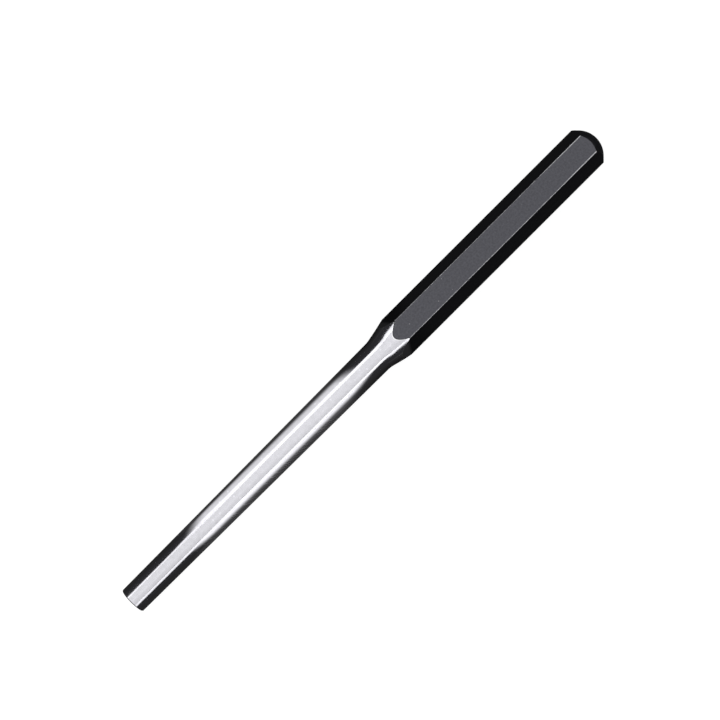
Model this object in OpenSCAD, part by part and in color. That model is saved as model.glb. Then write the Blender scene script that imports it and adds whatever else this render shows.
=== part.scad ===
// A pin punch worked from one hexagonal steel bar, lying on a flat of its shank.
// The bar runs along X with the pin towards -X. Places along the bar are
// measured from the pin's working face, and the radii from the bar's own axis.

/* [Pin] */
// Diameter of the pin at its working face
pin_tip_d = 8; // [4:0.1:9]
// Diameter of the pin where the neck begins
pin_root_d = 9.4; // [8:0.1:10]
// Length of the pin from its working face to the neck
pin_length = 97; // [40:1:150]
// Width of the broken edge round the working face
tip_edge = 0.25; // [0.1:0.05:1]

/* [Neck] */
// Angle between the neck's cone and the bar's axis
neck_angle = 13; // [8:0.5:25]
// Radius of the blend between the pin and the cone
neck_blend_r = 8; // [2:0.5:10]

/* [Shank] */
// Width of the hexagonal bar across its flats
hex_across_flats = 11; // [10.5:0.25:15]
// Length of the full hexagon, from the neck's cone to the crown's chamfer
shank_length = 72.7; // [20:0.1:140]
// Depth that is rounded off the bar's long corners
corner_relief = 0.06; // [0.02:0.01:0.3]

/* [Crown] */
// Radius of the dome that the hammer strikes
dome_r = 7; // [4:0.25:8]
// Angle between the crown's chamfer and the bar's axis
crown_angle = 45; // [35:1:55]

/* [Hidden] */
$fn = 144;

// Colours of the polished steel and of the black finish on the bar
polished_steel = [0.82, 0.82, 0.84];
black_finish = [0.13, 0.13, 0.14];

// Radial step from the flats down to the seam at either end of the shank
seam_step = 0.15;
// Overrun of every cut past the surface that it leaves
overrun = 1;

// Radii from the bar's axis
hex_sides = 6;
half_side_angle = 180 / hex_sides;
tip_r = pin_tip_d / 2;
root_r = pin_root_d / 2;
flat_r = hex_across_flats / 2;
sharp_corner_r = flat_r / cos(half_side_angle);
corner_r = sharp_corner_r - corner_relief;
seam_r = flat_r - seam_step;

// Places along the bar
shoulder_at = pin_length + (corner_r - root_r) / tan(neck_angle);
crown_at = shoulder_at + shank_length;
dome_edge_r = dome_r * cos(crown_angle);
dome_edge_at = crown_at + (corner_r - dome_edge_r) / tan(crown_angle);
dome_centre_at = dome_edge_at - dome_r * sin(crown_angle);
total_length = dome_centre_at + dome_r;

// Blend between the pin's slight taper and the neck's cone
pin_angle = atan((root_r - tip_r) / (pin_length - tip_edge));
blend_reach = neck_blend_r * tan((neck_angle - pin_angle) / 2);
neck_corner = [root_r, pin_length];
blend_on_pin = neck_corner - blend_reach * [sin(pin_angle), cos(pin_angle)];
blend_on_cone = neck_corner + blend_reach * [sin(neck_angle), cos(neck_angle)];
blend_centre = blend_on_pin + neck_blend_r * [cos(pin_angle), -sin(pin_angle)];

// Seams between the sections of the bar
pin_seam_at = blend_on_pin[1];
neck_seam_at = pin_length + (seam_r - root_r) / tan(neck_angle);
crown_seam_at = crown_at + (corner_r - seam_r) / tan(crown_angle);

// Stretch of the bar under the blend, hollowed by its radius, as [radius, place]
module neck_blend() {
    difference() {
        polygon([
            [0, blend_on_pin[1]],
            blend_on_pin,
            blend_centre,
            blend_on_cone,
            [0, blend_on_cone[1]]
        ]);
        translate(blend_centre) circle(r = neck_blend_r);
    }
}

// Rounded top of the crown, as [radius, place]
module dome() {
    intersection() {
        translate([0, dome_centre_at]) circle(r = dome_r);
        translate([0, dome_edge_at]) square([dome_r, dome_r]);
    }
}

// Half outline that the whole bar is turned to, as [radius, place]
module turned_outline() {
    polygon([
        [0, 0],
        [tip_r - tip_edge, 0],
        [tip_r, tip_edge],
        neck_corner,
        [corner_r, shoulder_at],
        [corner_r, crown_at],
        [dome_edge_r, dome_edge_at],
        [0, dome_edge_at]
    ]);
    neck_blend();
    dome();
}

// Round section of the turned bar between two places along it
module turned(from, to) {
    rotate_extrude() intersection() {
        turned_outline();
        translate([0, from]) square([sharp_corner_r, to - from]);
    }
}

// Hexagonal bar stock, with two flats level
module hex_bar() {
    rotate(half_side_angle) linear_extrude(total_length) circle(r = sharp_corner_r, $fn = hex_sides);
}

// Lays a section along X, with the lowest flat of the bar on the ground
module lay_down() {
    translate([-total_length / 2, 0, flat_r]) rotate([0, 90, 0]) children();
}

// Round pin that drives a pin out of its hole, with a flat working face
module tapered_pin() {
    color(polished_steel) lay_down() turned(-overrun, pin_seam_at);
}

// Cone that carries the pin, up to where the bar's flats begin
module neck_cone() {
    color(polished_steel) lay_down() turned(pin_seam_at, neck_seam_at);
}

// Hexagonal shank that is held in the hand, its corners turned away at both ends
module hex_shank() {
    color(black_finish) lay_down() intersection() {
        turned(neck_seam_at, crown_seam_at);
        hex_bar();
    }
}

// Chamfered and domed end that is struck with a hammer
module struck_crown() {
    color(black_finish) lay_down() turned(crown_seam_at, total_length + overrun);
}

tapered_pin();
neck_cone();
hex_shank();
struck_crown();
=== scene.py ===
"""Pin punch: the polished nose, the black hexagonal shank and the studio they are shown in."""

import math

import bpy
from mathutils import Matrix, Vector


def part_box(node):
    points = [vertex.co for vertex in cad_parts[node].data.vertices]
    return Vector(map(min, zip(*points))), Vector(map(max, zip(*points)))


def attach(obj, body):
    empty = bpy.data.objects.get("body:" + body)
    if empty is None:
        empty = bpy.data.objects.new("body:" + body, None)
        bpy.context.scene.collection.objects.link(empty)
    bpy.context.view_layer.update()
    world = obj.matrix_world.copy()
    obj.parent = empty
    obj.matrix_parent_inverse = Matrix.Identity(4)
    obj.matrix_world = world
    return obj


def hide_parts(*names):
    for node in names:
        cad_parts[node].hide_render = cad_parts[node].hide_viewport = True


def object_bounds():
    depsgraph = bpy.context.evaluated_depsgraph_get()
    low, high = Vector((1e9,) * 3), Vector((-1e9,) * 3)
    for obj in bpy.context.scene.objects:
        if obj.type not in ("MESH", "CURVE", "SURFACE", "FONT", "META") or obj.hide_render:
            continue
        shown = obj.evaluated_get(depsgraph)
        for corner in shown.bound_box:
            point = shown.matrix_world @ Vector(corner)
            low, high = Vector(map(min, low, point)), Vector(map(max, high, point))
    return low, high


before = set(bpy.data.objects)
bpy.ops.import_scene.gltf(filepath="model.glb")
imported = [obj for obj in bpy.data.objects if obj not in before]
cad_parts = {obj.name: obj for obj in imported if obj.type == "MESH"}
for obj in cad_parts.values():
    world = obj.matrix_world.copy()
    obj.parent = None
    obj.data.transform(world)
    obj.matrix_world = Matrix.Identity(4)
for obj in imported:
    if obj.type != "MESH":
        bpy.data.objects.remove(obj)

bl_info = {
    "name": "Pin punch",
    "version": (1, 0, 0),
    "blender": (4, 5, 0),
    "location": "View3D > Sidebar > Pin punch",
    "description": "Models a pin punch worked from one hexagonal bar",
    "category": "Object",
}

MM = 0.001

# Frame that the pieces are fitted to
CAD_BOX = [list(corner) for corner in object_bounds()]
SHANK_LOW, SHANK_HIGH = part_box("hex_shank")
TIP_X, END_X = CAD_BOX[0][0], CAD_BOX[1][0]
AXIS_Z = (SHANK_LOW.z + SHANK_HIGH.z) / 2
BODY = "root"

# Fineness of the turned surfaces
SIDES = 192
HEX_SIDES = 6
NECK_STEPS = 24
CONE_STEPS = 16
DOME_STEPS = 20
CORNER_STEPS = 10
POLE_RISE_SHARE = 0.97
SMOOTH_ANGLE = math.radians(8)
JOIN_REACH = 0.001 * MM

# Shader nodes: the gap between them, a colour mix's sockets, and the part of a place across the bar
NODE_GAP = 200
MIX_COLOUR_A, MIX_COLOUR_B, MIX_COLOUR_OUT = 6, 7, 2
ACROSS = (0, 1, 1)

# Polishing marks, in millimetres: winding lines, thin scratches and a mottled tone
TURN_PER_MM = -0.23
LINE_STRETCH = (0.2, 1, 1)
LINE_NOISE = {"Scale": 1.8, "Detail": 2.0, "Roughness": 0.5}
SCRATCH_STRETCH = (0.05, 1, 1)
SCRATCH_NOISE = {"Scale": 3.5, "Detail": 1.0, "Roughness": 0.5}
SCRATCH_SPAN = (0.6, 0.68)
MOTTLE_NOISE = {"Scale": 0.7, "Detail": 3.0, "Roughness": 0.6}
MOTTLE_SHARE = 0.75

# Polished steel, with its places and depths in millimetres
TONE_SPAN = (0.35, 0.65)
STEEL_SHADES = (0.955, 1.035)
# Pale specks of the steel, which are painted glints
STEEL_GLINT_SPECK_SCALE = 0.5
STEEL_GLINT_SPECK_SPAN = (0.22, 0.08)
STEEL_GLINT_SPECK_SHADE = 1.12
# Bright edge where the steel breaks into a flat: partly burnished steel, partly a painted highlight
RIM_HIGHLIGHT_DEPTHS = (0.07, 0.03)
RIM_HIGHLIGHT_COLOUR = (0.97, 0.97, 0.98, 1)
STEEL_ROUGHNESS = (0.13, 0.11)
SCRATCHED_Y = (-2.6, -3.2)
SCRATCHED_BEFORE_NECK_X = (-8, -18)
SCRATCHED_BEHIND_TIP_X = (-72, -60)
SCRATCH_ROUGHNESS = 0.22
FACE_DEPTHS = (0.06, 0.02)
FACE_ROUGHNESS = 0.4
STEEL_BUMP = {"Strength": 1.0, "Distance": 0.004 * MM}

# Black finish, with its places and depths in millimetres
GRAIN_NOISE = {"Scale": 1.8, "Detail": 5.0, "Roughness": 0.6}
GRAIN_SPAN = (0.35, 0.65)
BLACK_SHADES = (0.88, 1.12)
BLACK_SPECK_SCALE = 0.4
BLACK_SPECK_SPAN = (0.07, 0.03)
DARK_SPECK_SHADE = 0.3
PALE_SPECK_SHADE = 0.5
WORN_NOISE = {"Scale": 1.4, "Detail": 4.0, "Roughness": 0.7}
WORN_NOISE_DEPTH = 0.04
WORN_STRETCH = 17
WORN_DEPTHS = (0.008, 0.042)
RUBBED_HEIGHTS = (0.005, 0.025)
LIP_DEPTHS = (0.0, 0.09)
LIP_SHADES = (0.45, 1.0)
BARE_SLANT = 0.6
BARE_LINE_X = (16.5, 15.2)
BARE_DEPTHS = (0.05, 0.25)
BLACK_AND_BARE_ROUGHNESS = (0.3, 0.16)
BLACK_BUMP = {"Strength": 0.2, "Distance": 0.01 * MM}

# Floor and room: sizes in metres, and spans of a direction's X and Z
FLOOR_SIZE = 12
FLOOR_GLOW_SPAN = (0.12, 0.5)
FLOOR_GLOW = (0.85, 1.0)
ROOM_END_SPAN = (0.45, 0.7)
ROOM_RISE_SPAN = (0.03, 0.18)
ROOM_DIM = (0.028, 0.028, 0.03, 1)
ROOM_PALE = (0.82, 0.82, 0.83, 1)
WHITE = (1, 1, 1, 1)

# Black card under the punch; a rise is a place where it starts, one where it ends and its height
BLACK_CARD_SIZE = 11.0
BLACK_CARD_Z = 0.2 * MM
BLACK_CARD_LEVEL = 0.028
BLACK_CARD_RISES = ((-73 * MM, -64 * MM, 0.032), (-13 * MM, -4 * MM, -0.032), (16 * MM, 24 * MM, 0.014))
BLACK_CARD_SHARE = 0.96
BLACK_CARD_SHARE_RISES = ((-10 * MM, 10 * MM, -0.12),)
BLACK_CARD_DIPS_ALONG = ((-8 * MM, 4 * MM, 0.012), (16 * MM, 24 * MM, -0.012))
BLACK_CARD_DIPS_ACROSS = ((-30 * MM, -10 * MM, 1), (10 * MM, 30 * MM, -1))

# Pale cards that stand on either side of the nose
PALE_CARD_X = -36 * MM
PALE_CARD_LENGTH = 100 * MM
PALE_CARD_SOFT = 9 * MM
PALE_CARDS = {
    "upper_card": {
        "y": 25 * MM,
        "height": 31.5 * MM,
        "look": {
            "ends": (-63.6 * MM, -8.7 * MM),
            "splay": 0.14,
            "start": 0.12,
            "rises": (
                (2.9 * MM, 16.9 * MM, 0.78),
                (14.9 * MM, 24.9 * MM, 0.06),
                (25.9 * MM, 31.4 * MM, 0.5),
            ),
            "slant": 0.1,
        },
    },
    "lower_card": {
        "y": -25 * MM,
        "height": 24.5 * MM,
        "look": {
            "ends": (-62.8 * MM, -9.5 * MM),
            "splay": 0.3,
            "start": 0.1,
            "rises": ((7.2 * MM, 25.2 * MM, 1.34),),
            "slant": 0.05,
        },
    },
}

# Dark card that shades the tip from the outer part of the upper lamps, with edges in degrees from upright
SHADE_ENDS = (-112 * MM, -83 * MM)
SHADE_EDGES = (45, 60)
SHADE_RANGE = 0.1
SHADE_SOFT = 6 * MM
SHADE_LEVEL = 0.025
SHADE_RISE = 0.01

# Lamps, in sets along the bar, with ranges in metres and edges in degrees from upright
STRIP_RANGE = 0.8
OVERHEAD_RANGE = 0.9
OVERHEAD_NAMES = ("overhead_low", "overhead_middle", "overhead")
OVERHEAD_EDGES = (-24, -12)
OVERHEAD_LEVELS = (0.885, 0.965, 1.03)
LAMP_SETS = (
    # Ends along X, edges of the lower strip, overhead row and upper strip, and the strengths of these
    ((-0.05, 0.5), (-55.5, -39.5), (-37.5, 28.0), (28.5, 47.8), (1.55, 1, 1.55)),
    ((-0.16, -0.05), (-55.8, -40.5), (-38.5, 29.5), (30.5, 48.2), (1.55, 1, 1.5)),
    ((-0.25, -0.16), (-60, -43), (-40.5, 32.5), (33.5, 50.5), (1.33, 0.96, 1.25)),
    ((-0.285, -0.25), (-56.5, -46), (-45.5, 38), (38.5, 54), (1.4, 1, 1.4)),
    ((-0.33, -0.285), (-56.5, -46), (-45.5, 38), (38.5, 58.5), (1.4, 1, 1.4)),
    ((-0.85, -0.33), (-63.5, -49), (-48.5, 44.5), (45, 66), (1.4, 1, 1.4)),
)

# Camera
VIEW_TURN = math.radians(44.963)
VIEW_TILT = math.radians(4.5)
VIEW_RANGE = 0.57
VIEW_WIDTH = 0.1978
AIM_ALONG = 0.99 * MM
AIM_ACROSS = 2.67 * MM
SENSOR_WIDTH = 36
CLIP_START, CLIP_END = 0.01, 50


class PunchSizes(bpy.types.PropertyGroup):
    """Sizes of the punch as it was ground"""

    tip_d: bpy.props.FloatProperty(
        name="Tip diameter",
        description="Diameter of the pin at its working face",
        default=8 * MM,
        unit="LENGTH",
    )
    root_d: bpy.props.FloatProperty(
        name="Root diameter",
        description="Diameter of the pin where the neck begins",
        default=9.38 * MM,
        unit="LENGTH",
    )
    pin_length: bpy.props.FloatProperty(
        name="Pin length",
        description="Working face to where the neck's sides begin",
        default=95.6 * MM,
        unit="LENGTH",
    )
    tip_edge: bpy.props.FloatProperty(
        name="Tip edge",
        description="Width of the broken edge round the working face",
        default=0.25 * MM,
        unit="LENGTH",
    )
    neck_angle: bpy.props.FloatProperty(
        name="Neck angle",
        description="Between the neck's cone and the pin",
        default=math.radians(12.6),
        unit="ROTATION",
    )
    neck_drop: bpy.props.FloatProperty(
        name="Neck drop",
        description="How far below centre the cone was ground",
        default=0.62 * MM,
        unit="LENGTH",
    )
    neck_shift: bpy.props.FloatProperty(
        name="Neck shift",
        description="How far to one side the cone was ground",
        default=0.1 * MM,
        unit="LENGTH",
    )
    side_blend: bpy.props.FloatProperty(
        name="Side blend",
        description="Length that rounds the pin into the neck's sides",
        default=1.75 * MM,
        unit="LENGTH",
    )
    top_blend: bpy.props.FloatProperty(
        name="Top blend",
        description="Length that rounds the pin into the neck's top",
        default=5 * MM,
        unit="LENGTH",
    )
    across_flats: bpy.props.FloatProperty(
        name="Across flats",
        description="Width of the hexagonal bar",
        default=SHANK_HIGH.z - SHANK_LOW.z,
        unit="LENGTH",
    )
    corner_relief: bpy.props.FloatProperty(
        name="Corner relief",
        description="Depth rounded off each long corner",
        default=0.06 * MM,
        unit="LENGTH",
    )
    dome_r: bpy.props.FloatProperty(
        name="Dome radius",
        description="Radius of the struck dome",
        default=7 * MM,
        unit="LENGTH",
    )
    crown_angle: bpy.props.FloatProperty(
        name="Crown angle",
        description="Between the crown's chamfer and the axis",
        default=math.radians(45),
        unit="ROTATION",
    )
    clearance: bpy.props.FloatProperty(
        name="Clearance",
        description="How far the turning tool clears the bar's corners",
        default=0.9 * MM,
        unit="LENGTH",
    )


class PunchFinish(bpy.types.PropertyGroup):
    """Colours of the punch's finishes and of the floor"""

    steel: bpy.props.FloatVectorProperty(
        name="Steel",
        description="Polished steel",
        default=(0.70, 0.695, 0.735),
        subtype="COLOR",
        min=0,
        max=1,
    )
    black: bpy.props.FloatVectorProperty(
        name="Black",
        description="Black finish on the bar",
        default=(0.088, 0.088, 0.0995),
        subtype="COLOR",
        min=0,
        max=1,
    )
    rubbed: bpy.props.FloatVectorProperty(
        name="Rubbed steel",
        description="Steel that shows at the corners",
        default=(0.55, 0.55, 0.57),
        subtype="COLOR",
        min=0,
        max=1,
    )
    floor: bpy.props.FloatVectorProperty(
        name="Floor",
        description="Pale studio floor",
        default=(0.30, 0.30, 0.30),
        subtype="COLOR",
        min=0,
        max=1,
    )


def steps(low, high, count):
    """Evenly spaced numbers from low to high, with both ends"""
    return [low + (high - low) * step / count for step in range(count + 1)]


def eased(run, width):
    """A ramp that starts at 0 and then rises one for one, rounded over a width"""
    if run > width / 2:
        return run
    return max(0, run + width / 2) ** 2 / (2 * width)


def ring_on_axis(x, radius):
    """A ring round the bar's axis: its centre and its radius"""
    return Vector((x, 0, AXIS_Z)), radius


class Plan:
    """Places along X and radii from the axis, worked out from the sizes"""

    def __init__(self, sizes):
        self.sizes = sizes
        self.tip_r = sizes.tip_d / 2
        self.root_r = sizes.root_d / 2
        self.flat_r = sizes.across_flats / 2
        self.sharp_r = self.flat_r / math.cos(math.pi / HEX_SIDES)
        self.corner_r = self.sharp_r - sizes.corner_relief
        self.clear_r = self.corner_r + sizes.clearance
        self.taper = (self.root_r - self.tip_r) / (sizes.pin_length - sizes.tip_edge)
        self.slope = math.tan(sizes.neck_angle)
        self.lean = sizes.neck_shift / sizes.neck_drop
        self.neck_x = TIP_X + sizes.pin_length
        self.top_x = self.neck_x + sizes.neck_drop / self.slope
        self.pin_seam_x = self.neck_x - sizes.side_blend / 2
        self.neck_seam_x = SHANK_LOW.x
        self.cone_end_x = self.neck_x + (self.clear_r - self.root_r) / (self.slope + self.taper)
        self.crown_seam_x = SHANK_HIGH.x
        self.dome_centre_x = END_X - sizes.dome_r
        self.chamfer_slope = math.tan(sizes.crown_angle)

    def pin_r(self, x):
        """Radius of the tapered pin"""
        return self.root_r + (x - self.neck_x) * self.taper

    def neck_ring(self, x):
        """A ring of the neck, which widens at its sides first and at its top later"""
        side = self.slope * eased(x - self.neck_x, self.sizes.side_blend)
        drop = side - self.slope * eased(x - self.top_x, self.sizes.top_blend)
        return Vector((x, -drop * self.lean, AXIS_Z - drop)), self.pin_r(x) + side

    def dome_ring(self, angle):
        """A ring of the dome, by its angle from the middle of the ball"""
        x = self.dome_centre_x + self.sizes.dome_r * math.sin(angle)
        return ring_on_axis(x, self.sizes.dome_r * math.cos(angle))

    def chamfer_r(self, x):
        """Radius of the chamfer round the struck end"""
        edge, edge_r = self.dome_ring(self.sizes.crown_angle)
        return edge_r + (edge.x - x) * self.chamfer_slope


# Modelling steps


def start_piece(name):
    """Names the primitive just added and puts its place into its mesh"""
    piece = bpy.context.object
    piece.name = piece.data.name = name
    bpy.ops.object.transform_apply(location=True, rotation=True, scale=True)
    return piece


def turn_on_lathe(name, rings):
    """A turned solid: a disc that is extruded from ring to ring, each with its centre and radius"""
    bpy.ops.object.select_all(action="DESELECT")
    centre, radius = rings[0]
    bpy.ops.mesh.primitive_circle_add(
        vertices=SIDES, radius=radius, fill_type="NGON", location=centre, rotation=(0, math.pi / 2, 0)
    )
    piece = start_piece(name)
    bpy.ops.object.mode_set(mode="EDIT")
    bpy.ops.mesh.select_all(action="SELECT")
    for next_centre, next_radius in rings[1:]:
        bpy.ops.mesh.extrude_region_move(TRANSFORM_OT_translate={"value": next_centre - centre})
        growth = next_radius / radius
        bpy.ops.transform.resize(value=(1, growth, growth), center_override=next_centre)
        centre, radius = next_centre, next_radius
    bpy.ops.mesh.select_all(action="SELECT")
    bpy.ops.mesh.normals_make_consistent(inside=False)
    bpy.ops.object.mode_set(mode="OBJECT")
    return piece


def select_in_mesh(piece, kind, wanted):
    """In edit mode, selects only the faces or edges of a piece that the test picks"""
    bpy.context.view_layer.objects.active = piece
    bpy.ops.object.mode_set(mode="EDIT")
    bpy.ops.mesh.select_mode(type=kind)
    bpy.ops.mesh.select_all(action="DESELECT")
    bpy.ops.object.mode_set(mode="OBJECT")
    for part in piece.data.polygons if kind == "FACE" else piece.data.edges:
        part.select = wanted(part)
    bpy.ops.object.mode_set(mode="EDIT")


def cut_from_bar(name, rings, plan, finish):
    """A stretch of the hexagonal bar turned down to the given rings, bright where the cone was ground"""
    low_x, high_x = rings[0][0].x, rings[-1][0].x
    bpy.ops.object.select_all(action="DESELECT")
    bpy.ops.mesh.primitive_cylinder_add(
        vertices=HEX_SIDES,
        radius=plan.sharp_r,
        depth=high_x - low_x + plan.sharp_r,
        location=((low_x + high_x) / 2, 0, AXIS_Z),
        rotation=(0, math.pi / 2, 0),
    )
    bar = start_piece(name)

    # Round the six long corners
    def along_bar(edge):
        start, stop = (bar.data.vertices[point].co for point in edge.vertices)
        run = stop - start
        return abs(run.x) > abs(run.y) + abs(run.z)

    half_side = math.pi / HEX_SIDES
    round_r = plan.sizes.corner_relief / (1 / math.cos(half_side) - 1)
    select_in_mesh(bar, "EDGE", along_bar)
    bpy.ops.mesh.bevel(offset=round_r * math.tan(half_side), segments=CORNER_STEPS, affect="EDGES")
    bpy.ops.object.mode_set(mode="OBJECT")

    # Turn it down
    tool = turn_on_lathe(name + "_tool", rings)
    for part in (bar, tool):
        part.data.materials.append(black_material(finish, plan))
        part.data.materials.append(steel_material(finish, plan))
    for face in tool.data.polygons:
        face.material_index = int(face.center.x < plan.cone_end_x)
    turned = bar.modifiers.new("Turned", "BOOLEAN")
    turned.operation, turned.object, turned.solver = "INTERSECT", tool, "EXACT"
    bpy.ops.object.select_all(action="DESELECT")
    bar.select_set(True)
    bpy.context.view_layer.objects.active = bar
    bpy.ops.object.modifier_apply(modifier=turned.name)
    bpy.data.meshes.remove(tool.data)

    # Join the points that the cut left doubled
    bpy.ops.object.mode_set(mode="EDIT")
    bpy.ops.mesh.select_all(action="SELECT")
    bpy.ops.mesh.remove_doubles(threshold=JOIN_REACH)
    bpy.ops.object.mode_set(mode="OBJECT")
    if not bar.data.polygons:
        raise RuntimeError(f"Turning the bar down left nothing of {name}")
    return bar


def finish_piece(piece, node):
    """Smooths a piece, keeps its flats flat and fixes it to the bar's body"""
    bpy.ops.object.select_all(action="DESELECT")
    piece.select_set(True)
    bpy.context.view_layer.objects.active = piece
    bpy.ops.object.shade_smooth_by_angle(angle=SMOOTH_ANGLE)
    select_in_mesh(piece, "FACE", lambda face: len(face.vertices) > HEX_SIDES)
    bpy.ops.mesh.faces_shade_flat()
    bpy.ops.object.mode_set(mode="OBJECT")
    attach(piece, BODY)
    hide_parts(node)


# Shader nodes


def put(tree, kind, inputs=None, **settings):
    """Adds a node with its settings; an input takes a value or another node's socket"""
    made = tree.nodes.new(kind)
    for key, value in settings.items():
        setattr(made, key, value)
    for key, value in (inputs or {}).items():
        if isinstance(value, bpy.types.NodeSocket):
            tree.links.new(value, made.inputs[key])
        else:
            made.inputs[key].default_value = value
    made.location.x = NODE_GAP * len(tree.nodes)
    return made


def calc(tree, operation, *values):
    """One sum on numbers"""
    return put(tree, "ShaderNodeMath", dict(enumerate(values)), operation=operation).outputs[0]


def vector_calc(tree, operation, *values):
    """One sum on vectors, which gives a vector or, for a length or a dot product, a number"""
    made = put(tree, "ShaderNodeVectorMath", dict(enumerate(values)), operation=operation)
    return made.outputs["Value" if operation in ("LENGTH", "DOT_PRODUCT") else "Vector"]


def split(tree, vector):
    """The X, Y and Z of a vector"""
    return put(tree, "ShaderNodeSeparateXYZ", {0: vector}).outputs


def noise(tree, where, settings):
    """Level of a noise pattern at a place"""
    return put(tree, "ShaderNodeTexNoise", {"Vector": where, **settings}).outputs["Fac"]


def ramp(tree, value, span, levels=(0, 1), curve="SMOOTHSTEP"):
    """A level that goes from the first to the second as a value crosses a span"""
    made = put(tree, "ShaderNodeMapRange", {"Value": value}, interpolation_type=curve)
    for key, level in zip(("From Min", "From Max", "To Min", "To Max"), (*span, *levels)):
        made.inputs[key].default_value = level
    return made.outputs[0]


def mix_colours(tree, factor, first, second):
    """The first colour where the factor is 0 and the second where it is 1"""
    inputs = {0: factor, MIX_COLOUR_A: first, MIX_COLOUR_B: second}
    return put(tree, "ShaderNodeMix", inputs, data_type="RGBA").outputs[MIX_COLOUR_OUT]


def shade(colour, factor):
    """A colour made lighter or darker, with alpha"""
    return (*(channel * factor for channel in colour), 1)


def new_group(name, inputs, outputs):
    """A shader node group with named float or vector sockets, and its two end nodes"""
    group = bpy.data.node_groups.new(name, "ShaderNodeTree")
    for in_out, sockets in (("INPUT", inputs), ("OUTPUT", outputs)):
        for socket, kind in sockets:
            group.interface.new_socket(socket, in_out=in_out, socket_type=kind)
    return group, group.nodes.new("NodeGroupInput"), group.nodes.new("NodeGroupOutput")


def bar_place_group():
    """Place on the bar in millimetres from its axis, and the distance from that axis"""
    name = "Place on the bar"
    if name in bpy.data.node_groups:
        return bpy.data.node_groups[name]
    group, start, end = new_group(
        name,
        [("Object", "NodeSocketVector")],
        [("Place", "NodeSocketVector"), ("Radius", "NodeSocketFloat")],
    )
    per_mm = (1 / MM,) * 3
    place = vector_calc(group, "MULTIPLY_ADD", start.outputs["Object"], per_mm, (0, 0, -AXIS_Z / MM))
    radius = vector_calc(group, "LENGTH", vector_calc(group, "MULTIPLY", place, ACROSS))
    group.links.new(place, end.inputs["Place"])
    group.links.new(radius, end.inputs["Radius"])
    return group


def polishing_marks_group():
    """Fine lines that polishing winds round the axis, and the mottled tone of the steel"""
    name = "Polishing marks"
    if name in bpy.data.node_groups:
        return bpy.data.node_groups[name]
    group, start, end = new_group(
        name,
        [("Place", "NodeSocketVector"), ("Turn per mm", "NodeSocketFloat")],
        [("Height", "NodeSocketFloat"), ("Tone", "NodeSocketFloat"), ("Scratches", "NodeSocketFloat")],
    )
    place = start.outputs["Place"]
    turn = calc(group, "MULTIPLY", split(group, place)["X"], start.outputs["Turn per mm"])
    unwound = put(
        group, "ShaderNodeVectorRotate", {"Vector": place, "Angle": turn}, rotation_type="X_AXIS"
    ).outputs[0]
    lines = noise(group, vector_calc(group, "MULTIPLY", unwound, LINE_STRETCH), LINE_NOISE)
    scratches = noise(group, vector_calc(group, "MULTIPLY", unwound, SCRATCH_STRETCH), SCRATCH_NOISE)
    scratches = ramp(group, scratches, SCRATCH_SPAN)
    mottle = noise(group, place, MOTTLE_NOISE)
    tone = put(group, "ShaderNodeMix", {"Factor": MOTTLE_SHARE, "A": lines, "B": mottle}).outputs["Result"]
    group.links.new(lines, end.inputs["Height"])
    group.links.new(tone, end.inputs["Tone"])
    group.links.new(scratches, end.inputs["Scratches"])
    return group


# Finishes


def new_material(name):
    """An empty material with a Principled shader wired to its output"""
    material = bpy.data.materials.new(name)
    material.use_nodes = True
    tree = material.node_tree
    tree.nodes.clear()
    shader = put(tree, "ShaderNodeBsdfPrincipled")
    out = put(tree, "ShaderNodeOutputMaterial")
    tree.links.new(shader.outputs[0], out.inputs["Surface"])
    return material, tree, shader


def place_on_bar(tree):
    """Place and radius on the bar, found from the object's own coordinates"""
    where = put(tree, "ShaderNodeTexCoord").outputs["Object"]
    return put(tree, "ShaderNodeGroup", {"Object": where}, node_tree=bar_place_group()).outputs


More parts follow.
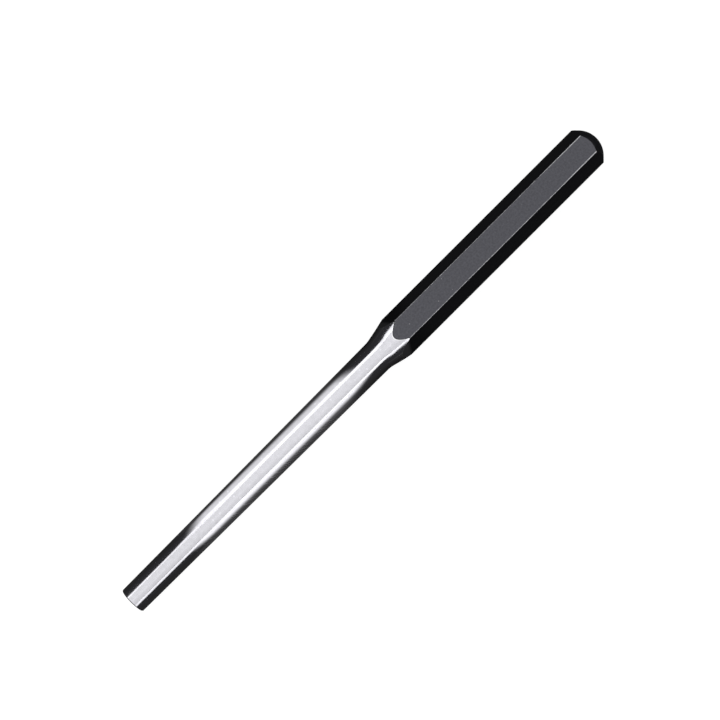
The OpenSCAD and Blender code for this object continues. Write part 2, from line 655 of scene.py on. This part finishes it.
def steel_material(finish, plan):
    """Polished steel with fine winding lines, pale specks that are painted glints, and a bright edge where
    it breaks into a flat, partly burnished and partly a painted highlight
    """
    name = "Polished steel"
    if name in bpy.data.materials:
        return bpy.data.materials[name]
    material, tree, shader = new_material(name)
    shader.inputs["Metallic"].default_value = 1
    place = place_on_bar(tree)["Place"]
    winding = {"Place": place, "Turn per mm": TURN_PER_MM}
    marks = put(tree, "ShaderNodeGroup", winding, node_tree=polishing_marks_group()).outputs
    tone = ramp(tree, marks["Tone"], TONE_SPAN, curve="LINEAR")
    colour = mix_colours(tree, tone, *(shade(finish.steel, factor) for factor in STEEL_SHADES))

    # Small pale specks, painted glints that stand for fine scratches catching the light
    cells = put(tree, "ShaderNodeTexVoronoi", {"Vector": place, "Scale": STEEL_GLINT_SPECK_SCALE}).outputs
    speck = ramp(tree, cells["Distance"], STEEL_GLINT_SPECK_SPAN)
    colour = mix_colours(tree, speck, colour, shade(finish.steel, STEEL_GLINT_SPECK_SHADE))

    # Bright edge, partly burnished steel and partly a painted highlight, by the distance that a flat lies
    # beyond the surface
    mirrored = vector_calc(tree, "ABSOLUTE", place)
    turn = math.tau / HEX_SIDES
    level = vector_calc(tree, "DOT_PRODUCT", mirrored, (0, 0, 1))
    sloping = vector_calc(tree, "DOT_PRODUCT", mirrored, (0, math.sin(turn), math.cos(turn)))
    reach = calc(tree, "MAXIMUM", level, sloping)
    rim = ramp(tree, reach, [plan.flat_r / MM - depth for depth in RIM_HIGHLIGHT_DEPTHS])
    colour = mix_colours(tree, rim, colour, RIM_HIGHLIGHT_COLOUR)
    tree.links.new(colour, shader.inputs["Base Color"])

    # Fine scratches along one flank of the nose
    parts = split(tree, place)
    flank = ramp(tree, parts["Y"], SCRATCHED_Y)
    before_neck = ramp(tree, parts["X"], SCRATCHED_BEFORE_NECK_X)
    behind_tip = ramp(tree, parts["X"], SCRATCHED_BEHIND_TIP_X)
    scuffed = calc(tree, "MULTIPLY", flank, calc(tree, "MULTIPLY", before_neck, behind_tip))
    scuffed = calc(tree, "MULTIPLY", scuffed, marks["Scratches"])
    rough = ramp(tree, tone, (0, 1), STEEL_ROUGHNESS, "LINEAR")
    rough = calc(tree, "MULTIPLY_ADD", scuffed, SCRATCH_ROUGHNESS, rough)

    # Working face, ground dull
    face_span = [TIP_X / MM + depth for depth in FACE_DEPTHS]
    face = ramp(tree, parts["X"], face_span, (0, FACE_ROUGHNESS), "LINEAR")
    tree.links.new(calc(tree, "ADD", rough, face), shader.inputs["Roughness"])
    bump = put(tree, "ShaderNodeBump", {**STEEL_BUMP, "Height": marks["Height"]})
    tree.links.new(bump.outputs[0], shader.inputs["Normal"])
    return material


def black_material(finish, plan):
    """Satin black finish, speckled, rubbed bright along the long corners"""
    name = "Black finish"
    if name in bpy.data.materials:
        return bpy.data.materials[name]
    material, tree, shader = new_material(name)
    shader.inputs["Metallic"].default_value = 1
    where = place_on_bar(tree)
    place = where["Place"]
    parts = split(tree, place)
    grain = noise(tree, place, GRAIN_NOISE)
    spread = ramp(tree, grain, GRAIN_SPAN, curve="LINEAR")
    colour = mix_colours(tree, spread, *(shade(finish.black, factor) for factor in BLACK_SHADES))

    # A few specks, some pale and some dark
    cells = put(tree, "ShaderNodeTexVoronoi", {"Vector": place, "Scale": BLACK_SPECK_SCALE}).outputs
    speck = ramp(tree, cells["Distance"], BLACK_SPECK_SPAN)
    kind = put(tree, "ShaderNodeSeparateColor", {0: cells["Color"]}).outputs["Red"]
    dark, pale = shade(finish.black, DARK_SPECK_SHADE), shade(finish.rubbed, PALE_SPECK_SHADE)
    colour = mix_colours(tree, speck, colour, mix_colours(tree, kind, dark, pale))

    # Long corners rubbed through to the steel, more so towards the struck end
    crown_mm = plan.crown_seam_x / MM
    wear = ramp(tree, parts["X"], (crown_mm - WORN_STRETCH, crown_mm), WORN_DEPTHS, "LINEAR")
    patches = noise(tree, place, WORN_NOISE)
    worn = calc(tree, "MULTIPLY_ADD", patches, WORN_NOISE_DEPTH, where["Radius"])
    worn = calc(tree, "ADD", worn, wear)
    rubbed = ramp(tree, worn, [plan.corner_r / MM + height for height in RUBBED_HEIGHTS])
    colour = mix_colours(tree, rubbed, colour, (*finish.rubbed, 1))

    # Darker lip where the ground cone breaks into a flat
    past = calc(tree, "SUBTRACT", parts["X"], plan.neck_x / MM)
    cone_r = calc(tree, "MULTIPLY_ADD", past, plan.slope + plan.taper, plan.root_r / MM)
    off_centre = (0, plan.sizes.neck_shift / MM, plan.sizes.neck_drop / MM)
    from_cone = vector_calc(tree, "LENGTH", vector_calc(tree, "MULTIPLY_ADD", place, ACROSS, off_centre))
    lip = ramp(tree, calc(tree, "SUBTRACT", cone_r, from_cone), LIP_DEPTHS, LIP_SHADES)
    colour = put(tree, "ShaderNodeVectorMath", {0: colour, "Scale": lip}, operation="SCALE").outputs[0]

    # Side flats ground bare beside the cone, along a slanting line
    mirrored = split(tree, vector_calc(tree, "ABSOLUTE", place))
    line = calc(tree, "MULTIPLY_ADD", mirrored["Y"], BARE_SLANT, parts["X"])
    before = ramp(tree, line, BARE_LINE_X)
    beside = ramp(tree, mirrored["Z"], [plan.flat_r / MM - depth for depth in BARE_DEPTHS], curve="LINEAR")
    bare = calc(tree, "MULTIPLY", before, beside)
    colour = mix_colours(tree, bare, colour, (*finish.steel, 1))
    tree.links.new(colour, shader.inputs["Base Color"])
    rough = ramp(tree, bare, (0, 1), BLACK_AND_BARE_ROUGHNESS, "LINEAR")
    tree.links.new(rough, shader.inputs["Roughness"])
    bump = put(tree, "ShaderNodeBump", {**BLACK_BUMP, "Height": grain})
    tree.links.new(bump.outputs[0], shader.inputs["Normal"])
    return material


# Pieces


class PUNCH_OT_pin(bpy.types.Operator):
    """Turns the long tapered pin with its flat working face"""

    bl_idname = "punch.pin"
    bl_label = "Tapered pin"

    def execute(self, context):
        plan = Plan(context.scene.punch_sizes)
        edge = plan.sizes.tip_edge
        rings = [ring_on_axis(TIP_X, plan.tip_r), plan.neck_ring(plan.pin_seam_x)]
        pin = turn_on_lathe("pin_turned", rings)

        # Break the edge of the working face
        def round_face(side):
            return all(pin.data.vertices[point].co.x < TIP_X + edge for point in side.vertices)

        select_in_mesh(pin, "EDGE", round_face)
        bpy.ops.mesh.bevel(offset=edge, segments=1, affect="EDGES")
        bpy.ops.object.mode_set(mode="OBJECT")
        pin.data.materials.append(steel_material(context.scene.punch_finish, plan))
        finish_piece(pin, "tapered_pin")
        return {"FINISHED"}


class PUNCH_OT_neck(bpy.types.Operator):
    """Turns the bar down to the cone that carries the pin"""

    bl_idname = "punch.neck"
    bl_label = "Neck cone"

    def execute(self, context):
        plan = Plan(context.scene.punch_sizes)
        rings = [plan.neck_ring(x) for x in steps(plan.pin_seam_x, plan.neck_seam_x, NECK_STEPS)]
        neck = cut_from_bar("neck_turned", rings, plan, context.scene.punch_finish)
        finish_piece(neck, "neck_cone")
        return {"FINISHED"}


class PUNCH_OT_shank(bpy.types.Operator):
    """Makes the hexagonal shank and turns its corners away at both ends"""

    bl_idname = "punch.shank"
    bl_label = "Hexagonal shank"

    def execute(self, context):
        plan = Plan(context.scene.punch_sizes)
        rings = [plan.neck_ring(x) for x in steps(plan.neck_seam_x, plan.cone_end_x, CONE_STEPS)]
        seam_r = plan.chamfer_r(plan.crown_seam_x)
        chamfer_x = plan.crown_seam_x - (plan.clear_r - seam_r) / plan.chamfer_slope
        rings.append(ring_on_axis(chamfer_x, plan.clear_r))
        rings.append(ring_on_axis(plan.crown_seam_x, seam_r))
        shank = cut_from_bar("shank_hexagonal", rings, plan, context.scene.punch_finish)
        finish_piece(shank, "hex_shank")
        return {"FINISHED"}


class PUNCH_OT_crown(bpy.types.Operator):
    """Turns the chamfered and domed end that a hammer strikes"""

    bl_idname = "punch.crown"
    bl_label = "Struck crown"

    def execute(self, context):
        plan = Plan(context.scene.punch_sizes)
        rings = [ring_on_axis(plan.crown_seam_x, plan.chamfer_r(plan.crown_seam_x))]
        angles = steps(plan.sizes.crown_angle, math.pi / 2, DOME_STEPS)
        rings += [plan.dome_ring(angle) for angle in angles[:-1]]
        crown = turn_on_lathe("crown_domed", rings)

        # Close the dome at its pole
        select_in_mesh(crown, "FACE", lambda face: face.normal.x > 0 and len(face.vertices) == SIDES)
        bpy.ops.mesh.poke(offset=POLE_RISE_SHARE * (END_X - rings[-1][0].x))
        bpy.ops.object.mode_set(mode="OBJECT")
        crown.data.materials.append(black_material(context.scene.punch_finish, plan))
        finish_piece(crown, "struck_crown")
        return {"FINISHED"}


# Studio


def facing_bar(edges, ends, range_m):
    """Middle, size and lean of a panel that faces the bar between two angles from upright and two ends"""
    low, high = (math.radians(edge) for edge in edges)
    lean = (low + high) / 2
    middle = (sum(ends) / 2, range_m * math.sin(lean), AXIS_Z + range_m * math.cos(lean))
    size = (ends[1] - ends[0], 2 * range_m * math.tan((high - low) / 2))
    return middle, size, lean


def soft_box(name, edges, ends, range_m, radiance):
    """A rectangular lamp facing the bar between two angles from upright and two places along X"""
    middle, size, lean = facing_bar(edges, ends, range_m)
    lamp = bpy.data.lights.new(name, "AREA")
    lamp.shape = "RECTANGLE"
    lamp.size, lamp.size_y = size
    lamp.energy = radiance * math.pi * lamp.size * lamp.size_y
    placed = bpy.data.objects.new(name, lamp)
    bpy.context.scene.collection.objects.link(placed)
    placed.location = middle
    placed.rotation_euler = (-lean, 0, 0)
    placed.visible_camera = False


def card(name, middle, size, tilt, material):
    """A flat card, seen only in reflections; a tilt of a quarter turn stands it up"""
    bpy.ops.object.select_all(action="DESELECT")
    bpy.ops.mesh.primitive_plane_add(size=1, location=middle, rotation=(tilt, 0, 0))
    laid = bpy.context.object
    laid.name = name
    laid.scale = (*size, 1)
    bpy.ops.object.transform_apply(location=True, rotation=True, scale=True)
    laid.data.materials.append(material)
    laid.visible_camera = laid.visible_diffuse = laid.visible_shadow = False
    laid.visible_transmission = laid.visible_volume_scatter = False


def glowing_material(name):
    """A material that glows, with its strength socket and the mask that may let light through it"""
    material = bpy.data.materials.new(name)
    material.use_nodes = True
    tree = material.node_tree
    tree.nodes.clear()
    parts = split(tree, put(tree, "ShaderNodeTexCoord").outputs["Object"])
    glow = put(tree, "ShaderNodeEmission")
    clear = put(tree, "ShaderNodeBsdfTransparent")
    both = put(tree, "ShaderNodeMixShader", {0: 1.0, 1: clear.outputs[0], 2: glow.outputs[0]})
    out = put(tree, "ShaderNodeOutputMaterial")
    tree.links.new(both.outputs[0], out.inputs["Surface"])
    return material, tree, parts, glow.inputs["Strength"], both.inputs[0]


def between_ends(tree, parts, ends, soft, splay):
    """1 between two places along X and 0 past them, with soft ends that splay apart upwards"""
    inside = []
    for end, sign in zip(ends, (1, -1)):
        past = calc(tree, "MULTIPLY_ADD", parts["X"], sign, -sign * end)
        past = calc(tree, "MULTIPLY_ADD", parts["Z"], splay, past)
        inside.append(ramp(tree, past, (-soft / 2, soft / 2)))
    return calc(tree, "MULTIPLY", *inside)


def summed_rises(tree, value, start, rises):
    """A level that starts at a value and takes each (from, to, rise) in turn"""
    level = start
    for low, high, rise in rises:
        level = calc(tree, "ADD", ramp(tree, value, (low, high), (0, rise)), level)
    return level


def banded_card_material(name, ends, soft, splay, start, rises, slant):
    """A card that changes upwards, in slanting bands, and fades out at both ends"""
    material, tree, parts, strength, shown = glowing_material(name)
    tree.links.new(between_ends(tree, parts, ends, soft, splay), shown)
    height = calc(tree, "MULTIPLY_ADD", parts["X"], -slant, parts["Z"])
    tree.links.new(summed_rises(tree, height, start, rises), strength)
    return material


def black_card_material(name):
    """A lying card, nearly black, a little paler beside the nose and darkest close beside the neck"""
    material, tree, parts, strength, _ = glowing_material(name)
    level = summed_rises(tree, parts["X"], BLACK_CARD_LEVEL, BLACK_CARD_RISES)
    share = summed_rises(tree, parts["Y"], BLACK_CARD_SHARE, BLACK_CARD_SHARE_RISES)
    level = calc(tree, "MULTIPLY", level, share)
    along = summed_rises(tree, parts["X"], 0, BLACK_CARD_DIPS_ALONG)
    across = summed_rises(tree, parts["Y"], 0, BLACK_CARD_DIPS_ACROSS)
    level = calc(tree, "SUBTRACT", level, calc(tree, "MULTIPLY", along, across))
    tree.links.new(level, strength)
    return material


def floor_material(finish):
    """White to the eye and in reflections, and still taking the punch's shadow"""
    material = bpy.data.materials.new("Studio floor")
    material.use_nodes = True
    tree = material.node_tree
    tree.nodes.clear()
    paper = put(tree, "ShaderNodeBsdfDiffuse", {"Color": (*finish.floor, 1)})
    path = put(tree, "ShaderNodeLightPath").outputs
    seen = calc(tree, "MAXIMUM", path["Is Camera Ray"], path["Is Glossy Ray"])
    seen = calc(tree, "MAXIMUM", seen, path["Is Transmission Ray"])
    away = vector_calc(tree, "LENGTH", put(tree, "ShaderNodeTexCoord").outputs["Object"])
    level = calc(tree, "MULTIPLY", seen, ramp(tree, away, FLOOR_GLOW_SPAN, FLOOR_GLOW))
    glow = put(tree, "ShaderNodeEmission", {"Strength": level})
    both = put(tree, "ShaderNodeAddShader", {0: paper.outputs[0], 1: glow.outputs[0]})
    out = put(tree, "ShaderNodeOutputMaterial")
    tree.links.new(both.outputs[0], out.inputs["Surface"])
    return material


def set_floor(finish):
    """The pale floor that the punch lies on"""
    bpy.ops.object.select_all(action="DESELECT")
    bpy.ops.mesh.primitive_plane_add(size=FLOOR_SIZE)
    floor = bpy.context.object
    floor.name = "studio_floor"
    floor.data.materials.append(floor_material(finish))


def set_cards():
    """The cards that the steel mirrors: black underneath, pale beside the nose and dark by the tip"""
    black_size = (BLACK_CARD_SIZE, BLACK_CARD_SIZE)
    card("black_card", (0, 0, BLACK_CARD_Z), black_size, 0, black_card_material("Black card"))
    for name, made in PALE_CARDS.items():
        look = banded_card_material(name.replace("_", " "), soft=PALE_CARD_SOFT, **made["look"])
        middle = (PALE_CARD_X, made["y"], made["height"] / 2)
        card(name, middle, (PALE_CARD_LENGTH, made["height"]), math.pi / 2, look)
    rises = ((0, SHADE_RANGE, SHADE_RISE),)
    look = banded_card_material("shade card", SHADE_ENDS, SHADE_SOFT, 0, SHADE_LEVEL, rises, 0)
    middle, size, lean = facing_bar(SHADE_EDGES, SHADE_ENDS, SHADE_RANGE)
    card("shade_card", middle, size, -lean, look)


def set_lamps():
    """In each set, a strip on either side of an overhead row of three; they stand wider past the nose"""
    for number, (ends, lower, overhead, upper, strengths) in enumerate(LAMP_SETS):
        lower_level, overhead_level, upper_level = strengths
        soft_box(f"lower_strip_{number}", lower, ends, STRIP_RANGE, lower_level)
        edges = (overhead[0], *OVERHEAD_EDGES, overhead[1])
        for name, low, high, level in zip(OVERHEAD_NAMES, edges, edges[1:], OVERHEAD_LEVELS):
            soft_box(f"{name}_{number}", (low, high), ends, OVERHEAD_RANGE, level * overhead_level)
        soft_box(f"upper_strip_{number}", upper, ends, STRIP_RANGE, upper_level)


def set_room(scene):
    """A room that is dim beside the punch, pale past its two ends and white to the camera"""
    world = bpy.data.worlds.new("Studio room")
    world.use_nodes = True
    tree = world.node_tree
    towards = split(tree, put(tree, "ShaderNodeTexCoord").outputs["Generated"])
    end_on = ramp(tree, calc(tree, "ABSOLUTE", towards["X"]), ROOM_END_SPAN)
    risen = ramp(tree, towards["Z"], ROOM_RISE_SPAN)
    colour = mix_colours(tree, calc(tree, "MULTIPLY", end_on, risen), ROOM_DIM, ROOM_PALE)
    seen = put(tree, "ShaderNodeLightPath").outputs["Is Camera Ray"]
    colour = mix_colours(tree, seen, colour, WHITE)
    tree.links.new(colour, tree.nodes["Background"].inputs["Color"])
    scene.world = world


def set_camera(scene):
    """A camera that looks down on the punch, with the bar running up to the right in its picture"""
    along = Vector((1, 0, 0))
    across = Vector((0, math.cos(VIEW_TILT), math.sin(VIEW_TILT)))
    back = Vector((0, -math.sin(VIEW_TILT), math.cos(VIEW_TILT)))
    right = along * math.cos(VIEW_TURN) - across * math.sin(VIEW_TURN)
    up = along * math.sin(VIEW_TURN) + across * math.cos(VIEW_TURN)
    aim = Vector((AIM_ALONG, 0, AXIS_Z)) + across * AIM_ACROSS
    spot = aim + back * VIEW_RANGE
    view = bpy.data.cameras.new("studio_camera")
    view.sensor_width = SENSOR_WIDTH
    view.lens = SENSOR_WIDTH * VIEW_RANGE / VIEW_WIDTH
    view.clip_start, view.clip_end = CLIP_START, CLIP_END
    camera = bpy.data.objects.new("studio_camera", view)
    scene.collection.objects.link(camera)
    camera.matrix_world = Matrix.Translation(spot) @ Matrix((right, up, back)).transposed().to_4x4()
    scene.camera = camera


class PUNCH_OT_stage(bpy.types.Operator):
    """Sets the floor, the cards, the lamps, the room and the camera"""

    bl_idname = "punch.stage"
    bl_label = "Studio"

    def execute(self, context):
        scene = context.scene
        scene.view_settings.view_transform = "Standard"
        set_floor(scene.punch_finish)
        set_cards()
        set_lamps()
        set_room(scene)
        set_camera(scene)
        return {"FINISHED"}


class PUNCH_PT_panel(bpy.types.Panel):
    """Sizes, finishes and pieces of the punch"""

    bl_label = "Pin punch"
    bl_idname = "PUNCH_PT_panel"
    bl_space_type = "VIEW_3D"
    bl_region_type = "UI"
    bl_category = "Pin punch"

    def draw(self, context):
        for group in (context.scene.punch_sizes, context.scene.punch_finish):
            column = self.layout.column()
            for name in group.__annotations__:
                column.prop(group, name)
        for piece in OPERATORS:
            self.layout.operator(piece.bl_idname)


OPERATORS = (PUNCH_OT_pin, PUNCH_OT_neck, PUNCH_OT_shank, PUNCH_OT_crown, PUNCH_OT_stage)
CLASSES = (PunchSizes, PunchFinish, *OPERATORS, PUNCH_PT_panel)


def register():
    for made in CLASSES:
        bpy.utils.register_class(made)
    bpy.types.Scene.punch_sizes = bpy.props.PointerProperty(type=PunchSizes)
    bpy.types.Scene.punch_finish = bpy.props.PointerProperty(type=PunchFinish)


def unregister():
    del bpy.types.Scene.punch_finish
    del bpy.types.Scene.punch_sizes
    for made in reversed(CLASSES):
        bpy.utils.unregister_class(made)


def main():
    register()
    bpy.ops.punch.pin()
    bpy.ops.punch.neck()
    bpy.ops.punch.shank()
    bpy.ops.punch.crown()
    bpy.ops.punch.stage()


if __name__ == "__main__":
    main()
